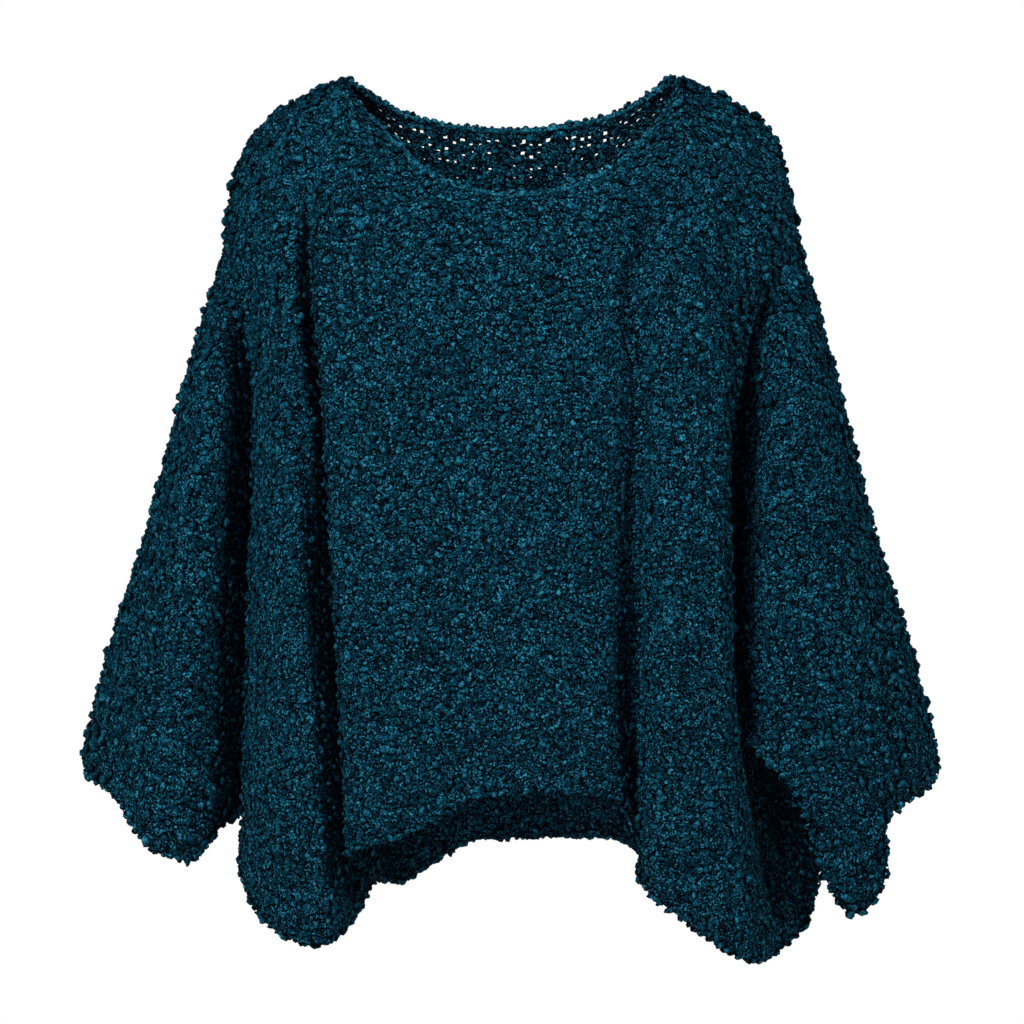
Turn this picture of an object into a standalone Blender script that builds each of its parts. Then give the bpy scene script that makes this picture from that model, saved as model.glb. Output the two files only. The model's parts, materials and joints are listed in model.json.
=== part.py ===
"""Oversized bobble-knit pullover, filled out as it is worn, with nobody in it.

Five knitted pieces: front, back, two dropped sleeves and the rolled neck edge. Each is a wall
of knit. Its outer face is a loft through named fold lines that run from the shoulder to the hem,
or from the armhole to the cuff. -Y is the front, +Z is up, and left and right are as the front is
seen, so +X is the right. The origin is the middle of the neck at the height of the shoulder
seams' inner ends. The tables are in millimetres.
"""
from collections import namedtuple

import bpy
import numpy as np

MM = 0.001
WALL = 5.0  # knit with its bobbles, face to face
SEAM_GAP = 0.3  # between two pieces that are sewn together
ROWS = 28  # of the front and the back, shoulder to hem
ARMHOLE_ROWS = 12  # of those, beside the armhole
SLEEVE_ROWS = 18  # armhole to cuff
TOP_BLEND = 0.25  # share of the length over which the neckline's own curve fades out
EDGE_ROLL = 6.5  # height of the rolled neck edge
EDGE_FULLNESS = 1.25  # its thickness, in walls
EDGE_SIDES = 8
EDGE_GAP = 0.7  # below it
CORNER_LIFT = 3.0  # how far a right-angled corner of the neckline lifts it
VALLEY_RISE = (0.05, 0.2)  # how steeply a piece rises from a seam before it stops sharing normals
FACING_APART = 0.4  # cosine from a piece's own normal to the shared one, where it keeps its own too
CURVE_STEPS = 12  # samples for each span when a length is measured

YOKE, CHEST, UNDERARM, WAIST, THIGH = -75.0, -145.0, -280.0, -420.0, -530.0  # the middle columns

TEAL = (0.010, 0.074, 0.110, 1.0)
TEAL_EDGE = (0.016, 0.105, 0.150, 1.0)
KNIT_ROUGHNESS = 0.95

# A panel's side: the armhole, from its top on the overarm round to the underarm, then the side seam.
Side = namedtuple("Side", "over front_high front_low under back_low back_high waist thigh hem")
LEFT_SIDE = Side(
    over=(-236, 0, -134), front_high=(-224, -48, -172), front_low=(-214, -40, -225),
    under=(-208, 6, -292), back_low=(-215, 52, -225), back_high=(-225, 48, -170),
    waist=(-198, 16, -420), thigh=(-200, 16, -530), hem=(-214, 8, -632),
)
RIGHT_SIDE = Side(
    over=(237, 0, -132), front_high=(212, -52, -165), front_low=(192, -45, -215),
    under=(198, 6, -292), back_low=(202, 54, -225), back_high=(216, 50, -168),
    waist=(201, 16, -420), thigh=(221, 14, -530), hem=(253, 4, -640),
)

# One row for each fold line: quads up to the next line, the end on the shoulder or neck (x, y, z),
# its place at the five levels (x, y; none where it starts lower), and its end on the hem (x, y, z).
Fold = namedtuple("Fold", "name quads top yoke chest underarm waist thigh hem")
FRONT_FOLDS = (
    Fold("left drape, outside", 3, (-223, -3, -64), None,
         (-209, -60), (-207, -58), (-213, -52), (-216, -52), (-221, -44, -642)),
    Fold("left drape, middle", 3, (-209, -3, -37), (-204, -40),
         (-197, -76), (-194, -88), (-197, -92), (-196, -96), (-188, -88, -687)),
    Fold("left drape, crest", 5, (-183, -3, -18), (-181, -62),
         (-181, -88), (-175, -108), (-171, -113), (-164, -115), (-153, -103, -695)),
    Fold("left groove", 5, (-163, -3, -7), (-163, -68),
         (-163, -85), (-143, -78), (-128, -64), (-118, -56), (-112, -42, -654)),
    Fold("panel, left edge", 2, (-150, -3, -1), (-152, -74),
         (-157, -99), (-146, -124), (-137, -131), (-130, -131), (-126, -127, -617)),
    Fold("neck, left end", 2, (-137, -2, 3), (-135, -78),
         (-130, -107), (-118, -135), (-110, -140), (-105, -139), (-96, -136, -609)),
    Fold("neck, left side", 2, (-97, -55, -53), None,
         (-87, -114), (-80, -138), (-76, -138), (-72, -137), (-68, -134, -598)),
    Fold("neck, left low", 3, (-65, -80, -84), None,
         (-58, -117), (-48, -138), (-46, -136), (-43, -135), (-34, -132, -579)),
    Fold("middle", 3, (1, -92, -101), None,
         (1, -120), (2, -139), (4, -137), (7, -134), (12, -131, -572)),
    Fold("neck, right low", 2, (64, -80, -87), None,
         (58, -117), (50, -138), (48, -136), (50, -133), (58, -130, -574)),
    Fold("neck, right side", 3, (104, -55, -56), None,
         (84, -112), (80, -132), (78, -130), (80, -127), (86, -126, -580)),
    Fold("right valley", 4, (135, -2, 3), (136, -74),
         (104, -98), (104, -104), (102, -96), (100, -92), (104, -88, -618)),
    Fold("right drape, crest", 2, (154, -3, -3), (148, -72),
         (118, -112), (112, -134), (108, -143), (105, -145), (99, -132, -642)),
    Fold("right drape, middle", 3, (185, -3, -18), (180, -60),
         (146, -108), (141, -132), (139, -142), (139, -146), (139, -141, -675)),
    Fold("right drape, ridge", 3, (212, -3, -38), (207, -38),
         (175, -86), (169, -108), (168, -118), (171, -122), (190, -116, -706)),
    Fold("right drape, outside", 4, (227, -3, -85), None,
         (200, -70), (177, -62), (180, -60), (194, -56), (234, -60, -688)),
)
BACK_FOLDS = (
    Fold("left back, outside", 3, (-223, -3, -64), None,
         (-208, 62), (-203, 68), (-200, 72), (-204, 74), (-212, 60, -642)),
    Fold("left back, side", 3, (-209, -3, -37), (-204, 42),
         (-194, 76), (-184, 86), (-180, 92), (-184, 95), (-192, 86, -656)),
    Fold("left back, crest", 5, (-183, -3, -18), (-180, 56),
         (-172, 84), (-158, 98), (-153, 104), (-157, 107), (-160, 98, -663)),
    Fold("left back, valley", 5, (-163, -3, -7), (-163, 60),
         (-150, 86), (-134, 92), (-126, 88), (-124, 86), (-122, 80, -660)),
    Fold("left back, inner crest", 2, (-150, -3, -1), (-150, 64),
         (-134, 90), (-112, 106), (-100, 112), (-96, 112), (-92, 104, -665)),
    Fold("neck, left end", 4, (-137, -2, 3), (-130, 68),
         (-112, 92), (-88, 104), (-72, 106), (-66, 106), (-64, 102, -648)),
    Fold("back neck, left", 4, (-86, 46, -25), (-80, 76),
         (-70, 94), (-52, 104), (-40, 102), (-34, 100), (-30, 98, -629)),
    Fold("back neck, middle", 4, (-2, 63, -35), (-1, 82),
         (0, 96), (0, 104), (2, 104), (4, 106), (4, 104, -628)),
    Fold("back neck, right", 4, (82, 46, -25), (78, 76),
         (72, 94), (54, 106), (50, 112), (52, 114), (54, 112, -628)),
    Fold("neck, right end", 4, (135, -2, 3), (130, 68),
         (114, 92), (92, 104), (84, 104), (88, 102), (92, 100, -630)),
    Fold("right back, valley", 2, (154, -3, -3), (149, 64),
         (134, 88), (116, 96), (112, 90), (116, 88), (124, 84, -646)),
    Fold("right back, inner crest", 3, (185, -3, -18), (180, 56),
         (160, 84), (144, 100), (142, 106), (150, 108), (164, 102, -656)),
    Fold("right back, crest", 3, (212, -3, -38), (206, 42),
         (189, 74), (174, 90), (172, 94), (180, 94), (210, 86, -660)),
    Fold("right back, outside", 4, (227, -3, -85), None,
         (206, 60), (194, 66), (196, 70), (206, 68), (244, 54, -650)),
)
FIRST_QUADS = 4  # from a panel's left side to its first fold line
NECK_ENDS = {"front": ("neck, left end", "right valley"), "back": ("neck, left end", "neck, right end")}

# One row for each line of a sleeve, from the overarm round the front to the underarm and back.
Line = namedtuple("Line", "name upper elbow forearm cuff")
LEFT_SLEEVE = (
    Line("over", (-256, 0, -203), (-295, 2, -351), (-335, 0, -482), (-352, -4, -550)),
    Line("outer corner", (-254, -32, -208), (-291, -38, -360), (-328, -36, -489), (-345, -30, -566)),
    Line("front outside", (-249, -56, -220), (-280, -66, -372), (-310, -62, -498), (-321, -56, -581)),
    Line("outer crest", (-242, -76, -240), (-264, -86, -388), (-286, -84, -512), (-286, -82, -623)),
    Line("inner crest", (-234, -82, -262), (-248, -90, -404), (-262, -90, -522), (-259, -86, -630)),
    Line("front inside", (-222, -52, -300), (-228, -50, -420), (-231, -50, -520), (-233, -48, -606)),
    Line("under", (-212, 10, -322), (-211, 14, -425), (-213, 14, -515), (-216, 8, -590)),
    Line("back inside", (-222, 60, -290), (-224, 66, -412), (-230, 64, -515), (-236, 58, -588)),
    Line("back outside", (-247, 60, -225), (-274, 66, -378), (-306, 64, -498), (-314, 58, -572)),
)
RIGHT_SLEEVE = (
    Line("over", (256, 0, -203), (292, 2, -351), (332, 0, -482), (351, -4, -556)),
    Line("outer corner", (253, -34, -210), (288, -42, -360), (322, -42, -487), (341, -32, -574)),
    Line("front outside", (246, -60, -222), (275, -72, -372), (297, -72, -495), (301, -68, -600)),
    Line("tongue, outside", (238, -78, -238), (263, -88, -384), (284, -86, -505), (297, -84, -651)),
    Line("tongue, tip", (228, -88, -255), (249, -98, -398), (267, -96, -515), (273, -95, -674)),
    Line("tongue, inside", (216, -90, -270), (233, -102, -406), (246, -103, -513), (253, -101, -650)),
    Line("front middle", (203, -82, -290), (213, -98, -412), (218, -103, -506), (227, -103, -576)),
    Line("front inside", (190, -60, -310), (189, -76, -415), (189, -82, -480), (186, -90, -531)),
    Line("under", (210, 4, -325), (214, 6, -420), (228, 4, -480), (240, -14, -528)),
    Line("back inside", (214, 60, -292), (222, 66, -410), (234, 62, -490), (252, 40, -540)),
    Line("back outside", (243, 62, -225), (271, 68, -376), (300, 66, -495), (318, 50, -566)),
)


# ---- curves ----

def slopes(points, closed=False):
    """The chord lengths between points and the curve's slope at each, from a parabola through three."""
    points = np.asarray(points, float)
    after = np.roll(points, -1, axis=0)
    chords = np.maximum(np.linalg.norm(after - points, axis=1), 1e-6)
    rises = (after - points) / chords[:, None]
    before = np.roll(chords, 1)
    weights = chords / (chords + before)
    slope = np.roll(rises, 1, axis=0) * weights[:, None] + rises * (1 - weights)[:, None]
    if not closed:
        slope[0] = 2 * rises[0] - slope[1] if len(points) > 2 else rises[0]
        slope[-1] = 2 * rises[-2] - slope[-2] if len(points) > 2 else rises[-2]
        chords = chords[:-1]
    return chords, slope


def span(start, end, chord, slope_in, slope_out, shares):
    """Points of one cubic span at the given shares of it."""
    t = np.asarray(shares, float)[:, None]
    rise = (2 * t**3 - 3 * t**2 + 1) * start + (-2 * t**3 + 3 * t**2) * end
    return rise + (t**3 - 2 * t**2 + t) * chord * slope_in + (t**3 - t**2) * chord * slope_out


def through(points, quads, closed=False, before=None, after=None):
    """A curve through points with quads[i] steps on its span i, both ends included unless closed.
    before and after are points past its ends, which it only turns towards."""
    first, last = int(before is not None), int(after is not None)
    points = np.array([before] * first + list(points) + [after] * last, float)
    chords, slope = slopes(points, closed)
    chords, points, slope = chords[first:], points[first:len(points) - last], slope[first:]
    made = []
    for i, steps in enumerate(quads):
        j = (i + 1) % len(points)
        shares = np.arange(steps) / steps
        made.append(span(points[i], points[j], chords[i], slope[i], slope[j], shares))
    return np.vstack(made if closed else made + [points[-1:]])


def even(points, steps, before=None, after=None):
    """The curve through points, cut into equal lengths."""
    fine = through(points, [CURVE_STEPS] * (len(points) - 1), False, before, after)
    return spaced(fine, steps)


def spaced(fine, steps):
    """steps + 1 points at equal lengths along a polyline."""
    lengths = np.concatenate([[0], np.cumsum(np.linalg.norm(np.diff(fine, axis=0), axis=1))])
    wanted = np.linspace(0, lengths[-1], steps + 1)
    return np.stack([np.interp(wanted, lengths, fine[:, axis]) for axis in range(3)], axis=1)


# ---- front and back ----

def folds_of(face):
    return FRONT_FOLDS if face == "front" else BACK_FOLDS


def middle_points(fold):
    """The fold line's places at the levels between its two ends."""
    places = (fold.yoke, fold.chest, fold.underarm, fold.waist, fold.thigh)
    heights = (YOKE, CHEST, UNDERARM, WAIST, THIGH)
    return [(*place, height) for place, height in zip(places, heights) if place]


def fold_line(fold, other_face):
    """The fold line from its top to the hem in ROWS equal steps, rounded over the shoulder seam."""
    over = [middle_points(other)[0] for other in folds_of(other_face) if other.top == fold.top]
    return even([fold.top, *middle_points(fold), fold.hem], ROWS, before=over[0] if over else None)


def side_line(side, face):
    """A panel's side: round the armhole's front or back half, then down the side seam."""
    halves = {"front": (side.front_high, side.front_low), "back": (side.back_high, side.back_low)}
    high, low = halves.pop(face)
    other_high, other_low = halves.popitem()[1]
    armhole = even([side.over, high, low, side.under], ARMHOLE_ROWS, other_high, other_low)
    seam = even([side.under, side.waist, side.thigh, side.hem], ROWS - ARMHOLE_ROWS)
    return np.vstack([armhole[:-1], seam])


def neck_end_indexes(face):
    """Where the neckline's two ends come among a panel's lines, its side line being the first."""
    names = [fold.name for fold in folds_of(face)]
    return tuple(names.index(end) + 1 for end in NECK_ENDS[face])


def panel_lines(face, other_face):
    """All lines of a panel from its left side to its right, and the quads between them."""
    lines = [fold_line(fold, other_face) for fold in folds_of(face)]
    lines = [side_line(LEFT_SIDE, face), *lines, side_line(RIGHT_SIDE, face)]
    return np.array(lines), [FIRST_QUADS, *(fold.quads for fold in folds_of(face))]


def neckline(front_tops, front_quads, back_tops, back_quads):
    """The front and the back half of the neck opening, which is one round curve."""
    ring = np.vstack([front_tops, back_tops[-2:0:-1]])
    around = through(ring, front_quads + back_quads[::-1], closed=True)
    turn = sum(front_quads)
    return around[:turn + 1], np.vstack([around[turn:], around[:1]])[::-1]


def top_edge(tops, quads, ends, half_neck):
    """Left shoulder seam, half of the neckline and right shoulder seam."""
    left = through(tops[:ends[0] + 1], quads[:ends[0]])
    right = through(tops[ends[1]:], quads[ends[1]:])
    return np.vstack([left[:-1], half_neck, right[1:]])


def panels():
    """Grids of points (row, column, xyz) of the front and the back."""
    front, front_quads = panel_lines("front", "back")
    back, back_quads = panel_lines("back", "front")
    front_rows, back_rows = [], []
    for row in range(ROWS + 1):
        if row < ARMHOLE_ROWS:
            front_rows.append(through(front[:, row], front_quads))
            back_rows.append(through(back[:, row], back_quads))
            continue
        ring = np.vstack([front[:, row], back[-2:0:-1, row]])
        around = through(ring, front_quads + back_quads[::-1], closed=True)
        turn = sum(front_quads)
        front_rows.append(around[:turn + 1])
        back_rows.append(np.vstack([around[turn:], around[:1]])[::-1])
    front_ends, back_ends = neck_end_indexes("front"), neck_end_indexes("back")
    front_neck, back_neck = neckline(
        front[front_ends[0]:front_ends[1] + 1, 0], front_quads[slice(*front_ends)],
        back[back_ends[0]:back_ends[1] + 1, 0], back_quads[slice(*back_ends)],
    )
    front_top = top_edge(front[:, 0], front_quads, front_ends, front_neck)
    back_top = top_edge(back[:, 0], back_quads, back_ends, back_neck)
    fade = np.clip(1 - np.arange(ROWS + 1) / (ROWS * TOP_BLEND), 0, 1) ** 2
    grids = []
    for rows, top in ((front_rows, front_top), (back_rows, back_top)):
        grid = np.array(rows)
        grids.append(grid + fade[:, None, None] * (top - grid[0]))
    return grids


# ---- sleeves ----

def sleeve(lines, front_edge, back_edge):
    """A sleeve's grid (row, round, xyz), from the armhole down to the cuff."""
    armhole = np.vstack([front_edge[:ARMHOLE_ROWS + 1], back_edge[ARMHOLE_ROWS - 1:0:-1]])
    names = [line.name for line in lines]
    turn = names.index("under")
    rings = [armhole]
    for station in ("upper", "elbow", "forearm", "cuff"):
        points = [getattr(line, station) for line in lines]
        fine = through(points, [CURVE_STEPS] * len(points), closed=True)
        front_half = spaced(fine[:turn * CURVE_STEPS + 1], ARMHOLE_ROWS)
        back_half = spaced(np.vstack([fine[turn * CURVE_STEPS:], fine[:1]]), ARMHOLE_ROWS)
        rings.append(np.vstack([front_half[:-1], back_half[:-1]]))
    rings = np.array(rings)
    return np.array([even(rings[:, j], SLEEVE_ROWS) for j in range(rings.shape[1])]).transpose(1, 0, 2)


# ---- walls ----

def quads_of(rows, columns, closed, flip):
    """Vertex indexes of a grid's quads, turned so that the knit's right side is outward."""
    across = columns if closed else columns - 1
    made = []
    for i in range(rows - 1):
        for j in range(across):
            k = (j + 1) % columns
            quad = [i * columns + j, (i + 1) * columns + j, (i + 1) * columns + k, i * columns + k]
            made.append(quad[::-1] if flip else quad)
    return np.array(made)


def joined_normals(grids):
    """Normals at every point of the given pieces, averaged where they meet."""
    points = np.vstack([grid.reshape(-1, 3) for grid, _, _ in grids.values()])
    _, shared = np.unique(np.round(points, 3), axis=0, return_inverse=True)
    shared = shared.reshape(-1)
    total = np.zeros((shared.max() + 1, 3))
    start = 0
    for grid, closed, flip in grids.values():
        quads = quads_of(grid.shape[0], grid.shape[1], closed, flip) + start
        a, b, c, d = (points[quads[:, corner]] for corner in range(4))
        face = np.cross(c - a, d - b)
        for corner in range(4):
            np.add.at(total, shared[quads[:, corner]], face)
        start += grid.shape[0] * grid.shape[1]
    total = unit(total)
    normals, start = {}, 0
    for name, (grid, _, _) in grids.items():
        count = grid.shape[0] * grid.shape[1]
        normals[name] = total[shared[start:start + count]].reshape(grid.shape)
        start += count
    return normals


def inward_steps(grid, closed):
    """At each edge point the direction into its own piece, and nothing elsewhere."""
    steps = np.zeros_like(grid)
    steps[0] = unit(grid[1] - grid[0])
    if not closed:
        steps[1:, 0] = unit(grid[1:, 1] - grid[1:, 0])
        steps[1:, -1] = unit(grid[1:, -2] - grid[1:, -1])
    return steps


def wall_normals(grids):
    """Normals for the walls. Over a ridge such as the shoulder seam, pieces that meet share theirs, so
    their walls stay parallel. In the deep valley under the arm each piece keeps its own."""
    shared = joined_normals(grids)
    own = joined_normals({name: grids[name] for name in ("front", "back")})
    for name in ("sleeve_left", "sleeve_right"):
        own.update(joined_normals({name: grids[name]}))
    normals = {}
    for name, (grid, closed, _) in grids.items():
        rise = (inward_steps(grid, closed) * shared[name]).sum(axis=-1)
        hollow = np.clip((rise - VALLEY_RISE[0]) / (VALLEY_RISE[1] - VALLEY_RISE[0]), 0, 1)
        hollow[(own[name] * shared[name]).sum(axis=-1) < FACING_APART] = 1.0
        mix = hollow[..., None]
        normals[name] = unit(shared[name] * (1 - mix) + own[name] * mix)
    return normals


def unit(vectors):
    return vectors / np.maximum(np.linalg.norm(vectors, axis=-1), 1e-9)[..., None]


def drawn_in(grid, closed):
    """The grid with its sewn edges drawn in by half of the seam's gap."""
    moved = grid.copy()
    half = SEAM_GAP / 2
    moved[0] += half * unit(grid[1] - grid[0])
    if not closed:
        moved[:, 0] += half * unit(grid[:, 1] - grid[:, 0])
        moved[:, -1] += half * unit(grid[:, -2] - grid[:, -1])
    return moved


def boundary(rows, columns, closed):
    """Loops of vertex indexes along a grid's open edges."""
    top = list(range(columns))
    bottom = [(rows - 1) * columns + j for j in range(columns)]
    if closed:
        return [top, bottom[::-1]]
    right = [i * columns + columns - 1 for i in range(1, rows - 1)]
    left = [i * columns for i in range(1, rows - 1)]
    return [top + right + bottom[::-1] + left[::-1]]


def wall_mesh(name, outer, inner, closed, flip):
    """A closed wall between two grids of the same layout."""
    rows, columns = outer.shape[:2]
    count = rows * columns
    points = np.vstack([outer.reshape(-1, 3), inner.reshape(-1, 3)]) * MM
    quads = quads_of(rows, columns, closed, flip)
    faces = [list(map(int, quad)) for quad in quads]
    faces += [[int(v) + count for v in quad[::-1]] for quad in quads]
    for loop in boundary(rows, columns, closed):
        for a, b in zip(loop, loop[1:] + loop[:1]):
            # The rim's quads are twisted, so pieces that meet there are cut along the same diagonal.
            if points[a][2] > points[b][2]:
                rim = [[a, b, b + count], [a, b + count, a + count]]
            else:
                rim = [[a, b, a + count], [b, b + count, a + count]]
            faces += [face[::-1] for face in rim] if flip else rim
    mesh = bpy.data.meshes.new(name)
    mesh.from_pydata([tuple(map(float, p)) for p in points], [], faces)
    mesh.validate()
    return mesh


def neck_edge_mesh(name, front, back, normals):
    """The rolled edge: a ring of round sections that carries on from the walls at the neckline."""
    first, last = neck_columns("front")
    front_top = front[0, first:last + 1]
    front_normal = normals["front"][0, first:last + 1]
    first, last = neck_columns("back")
    back_top = back[0, first:last + 1]
    back_normal = normals["back"][0, first:last + 1]
    edge = np.vstack([front_top[:-1], back_top[:0:-1]])
    normal = np.vstack([front_normal[:-1], back_normal[:0:-1]])
    along = unit(np.roll(edge, -1, axis=0) - np.roll(edge, 1, axis=0))
    rise = unit(np.cross(normal, along))
    turn = 1 - (unit(np.roll(edge, -1, axis=0) - edge) * unit(edge - np.roll(edge, 1, axis=0))).sum(axis=1)
    lift = EDGE_GAP + EDGE_ROLL / 2 + CORNER_LIFT * turn[:, None]
    middle = edge - normal * (WALL / 2) + rise * lift
    turns = 2 * np.pi * (np.arange(EDGE_SIDES) + 0.5) / EDGE_SIDES
    reach = 1 / np.cos(np.pi / EDGE_SIDES)
    sections = np.array([
        middle + normal * (np.cos(turn) * reach * WALL * EDGE_FULLNESS / 2)
        + rise * (np.sin(turn) * reach * EDGE_ROLL / 2)
        for turn in turns
    ]).transpose(1, 0, 2)
    rings, sides = sections.shape[:2]
    faces = []
    for i in range(rings):
        k = (i + 1) % rings
        for j in range(sides):
            m = (j + 1) % sides
            faces.append([i * sides + j, k * sides + j, k * sides + m, i * sides + m])
    mesh = bpy.data.meshes.new(name)
    mesh.from_pydata([tuple(map(float, p * MM)) for p in sections.reshape(-1, 3)], [], faces)
    return mesh


def neck_columns(face):
    """The columns of a panel's grid where its neckline starts and ends."""
    quads = [FIRST_QUADS, *(fold.quads for fold in folds_of(face))]
    return tuple(sum(quads[:end]) for end in neck_end_indexes(face))


# ---- objects ----

def knit(name, colour):
    """Dull knitted yarn in one colour."""
    material = bpy.data.materials.new(name)
    material.use_nodes = True
    shader = material.node_tree.nodes["Principled BSDF"]
    shader.inputs["Base Color"].default_value = colour
    shader.inputs["Roughness"].default_value = KNIT_ROUGHNESS
    shader.inputs["Metallic"].default_value = 0.0
    return material


def add_piece(name, mesh, colour, collection):
    mesh.materials.append(knit(name + "_yarn", colour))
    mesh.shade_smooth()
    piece = bpy.data.objects.new(name, mesh)
    collection.objects.link(piece)
    return piece


def main():
    for old in list(bpy.data.objects):
        bpy.data.objects.remove(old, do_unlink=True)
    collection = bpy.data.collections.new("oversized_sweater")
    bpy.context.scene.collection.children.link(collection)

    front, back = panels()
    grids = {  # points, closed round, turned
        "front": (front, False, False),
        "back": (back, False, True),
        "sleeve_left": (sleeve(LEFT_SLEEVE, front[:, 0], back[:, 0]), True, False),
        "sleeve_right": (sleeve(RIGHT_SLEEVE, front[:, -1], back[:, -1]), True, True),
    }
    normals = wall_normals(grids)
    for name, (grid, closed, flip) in grids.items():
        outer = drawn_in(grid, closed)
        inner = outer - normals[name] * WALL
        add_piece(name, wall_mesh(name, outer, inner, closed, flip), TEAL, collection)
    edge = neck_edge_mesh("neck_edge", front, back, normals)
    add_piece("neck_edge", edge, TEAL_EDGE, collection)


main()
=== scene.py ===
# %% [markdown]
# # A bobble-knit pullover, dressed over its measured frame
#
# The garment is an oversized pullover in teal looped yarn, filled out as if somebody stood in it.
# This notebook builds what the eye sees: thin knitted cloth with its folds, tens of thousands of
# small yarn bobbles on it, the rolled neck edge, and the light of a plain studio.
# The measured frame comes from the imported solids, and everything here is placed in its space.

import json
from collections import namedtuple

import bpy
import numpy as np
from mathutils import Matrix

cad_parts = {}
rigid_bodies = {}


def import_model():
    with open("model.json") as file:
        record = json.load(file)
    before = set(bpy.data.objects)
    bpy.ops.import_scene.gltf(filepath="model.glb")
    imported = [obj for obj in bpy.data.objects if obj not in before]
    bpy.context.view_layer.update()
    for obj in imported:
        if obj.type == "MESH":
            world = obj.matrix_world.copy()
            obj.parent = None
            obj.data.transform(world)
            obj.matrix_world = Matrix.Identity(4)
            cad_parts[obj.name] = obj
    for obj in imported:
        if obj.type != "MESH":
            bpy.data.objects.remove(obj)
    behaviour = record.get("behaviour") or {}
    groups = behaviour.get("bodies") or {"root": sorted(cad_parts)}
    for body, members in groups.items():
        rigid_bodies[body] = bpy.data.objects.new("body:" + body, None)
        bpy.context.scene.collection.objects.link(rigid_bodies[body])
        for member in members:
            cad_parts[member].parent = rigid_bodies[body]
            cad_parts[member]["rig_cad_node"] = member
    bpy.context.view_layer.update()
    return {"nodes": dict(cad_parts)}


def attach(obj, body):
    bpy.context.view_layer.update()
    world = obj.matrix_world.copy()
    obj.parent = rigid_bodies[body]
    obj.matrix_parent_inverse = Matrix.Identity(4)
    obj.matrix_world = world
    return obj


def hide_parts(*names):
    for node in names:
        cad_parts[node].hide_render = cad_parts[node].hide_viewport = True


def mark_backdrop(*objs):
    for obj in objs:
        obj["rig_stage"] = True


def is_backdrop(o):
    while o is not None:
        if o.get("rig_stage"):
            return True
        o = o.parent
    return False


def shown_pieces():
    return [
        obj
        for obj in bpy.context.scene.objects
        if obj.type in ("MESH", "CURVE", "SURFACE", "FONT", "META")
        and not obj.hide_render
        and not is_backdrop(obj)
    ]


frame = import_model()
bpy.ops.object.select_all(action="DESELECT")
print("frame nodes:", sorted(frame["nodes"]))

# %% [markdown]
# ## Camera
#
# The photograph looks straight at the garment from far away, so the lens is long and level.
# One pixel of the square picture is 0.82 mm at the garment, which fixes the lens once the
# distance is chosen.

# %% Camera
MM = 0.001
PICTURE = 1024  # pixels across
PIXEL = 0.82  # mm at the middle of the garment
DISTANCE = 3.0  # m
AIM_HEIGHT = -0.3526  # m, level with the middle of the picture

camera_data = bpy.data.cameras.new("camera")
camera_data.sensor_width = 36.0
camera_data.lens = 36.0 * DISTANCE / (PICTURE * PIXEL * MM)
camera = bpy.data.objects.new("camera", camera_data)
camera.location = (0.0, -DISTANCE, AIM_HEIGHT)
camera.rotation_euler = (np.pi / 2, 0.0, 0.0)
bpy.context.scene.collection.objects.link(camera)
bpy.context.scene.camera = camera
print("lens, mm:", round(camera_data.lens, 1))

# %% [markdown]
# ## Colour and node helpers
#
# Colours are written as they look on screen and turned into the linear values that the renderer
# mixes. One helper adds a node with its settings and its links, so that a material reads as a list.

# %% Helpers for materials
def linear(code):
    """A screen colour such as 336699 as linear red, green, blue and alpha."""
    shares = [int(code[i:i + 2], 16) / 255 for i in (0, 2, 4)]
    return (*[s / 12.92 if s <= 0.04045 else ((s + 0.055) / 1.055) ** 2.4 for s in shares], 1.0)


def add(tree, kind, sockets=None, **settings):
    """A node with its settings. A socket gets a value, or a link from a node or another socket."""
    node = tree.nodes.new("ShaderNode" + kind)
    for name, value in settings.items():
        setattr(node, name, value)
    for name, value in (sockets or {}).items():
        if isinstance(value, bpy.types.Node):
            value = value.outputs[0]
        if isinstance(value, bpy.types.NodeSocket):
            tree.links.new(value, node.inputs[name])
        else:
            node.inputs[name].default_value = value
    return node


def new_material(name):
    """An empty material and its tree."""
    material = bpy.data.materials.new(name)
    material.use_nodes = True
    material.node_tree.nodes.clear()
    return material, material.node_tree

print("white is", linear("FFFFFF"))

# %% [markdown]
# ## Studio
#
# The backdrop is pure white. Every fold is bright on its left flank and nearly black on its
# right one, so the main light is a soft one from the left and in front. A weaker one from the
# right and above gives the right shoulder and sleeve their share, one from below reaches the
# inside of the hem, and one behind shows the back to a viewer who walks round. The room itself
# gives little light, which leaves the deep folds nearly black. A real photographer lights the
# white backdrop apart from the garment. Here it glows by itself and only the camera sees it.
# The floor is far below, as the garment hangs at a wearer's height. It is white paper with some
# light of its own, which doesn't reach the garment.

# %% Studio
FLOOR_HEIGHT = -1.45  # m
FLOOR_SIZE = 7.6
BACKDROP_RADIUS = 9.0
FLOOR_GLOW = 0.6
PAPER = linear("F2F2F0")
ROOM_LIGHT = 0.045
Lamp = namedtuple("Lamp", "name place turn size power")  # m, radians, m, W
LAMPS = (
    Lamp("key", (-1.5, -2.55, 0.9), (1.17, 0.0, -0.53), 0.7, 47.0),
    Lamp("low", (-0.6, -2.4, -1.25), (1.902, 0.0, -0.245), 1.4, 14.1),
    Lamp("side", (2.2, -1.75, 1.5), (0.988, 0.0, 0.899), 0.8, 33.84),
    Lamp("back", (0.4, 3.0, 0.7), (1.237, 0.0, 3.009), 1.4, 42.3),
)

scene = bpy.context.scene
scene.view_settings.view_transform = "Standard"
scene.world = bpy.data.worlds.new("studio")
scene.world.use_nodes = True
room = scene.world.node_tree.nodes["Background"].inputs
room["Color"].default_value = (1, 1, 1, 1)
room["Strength"].default_value = ROOM_LIGHT

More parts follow.
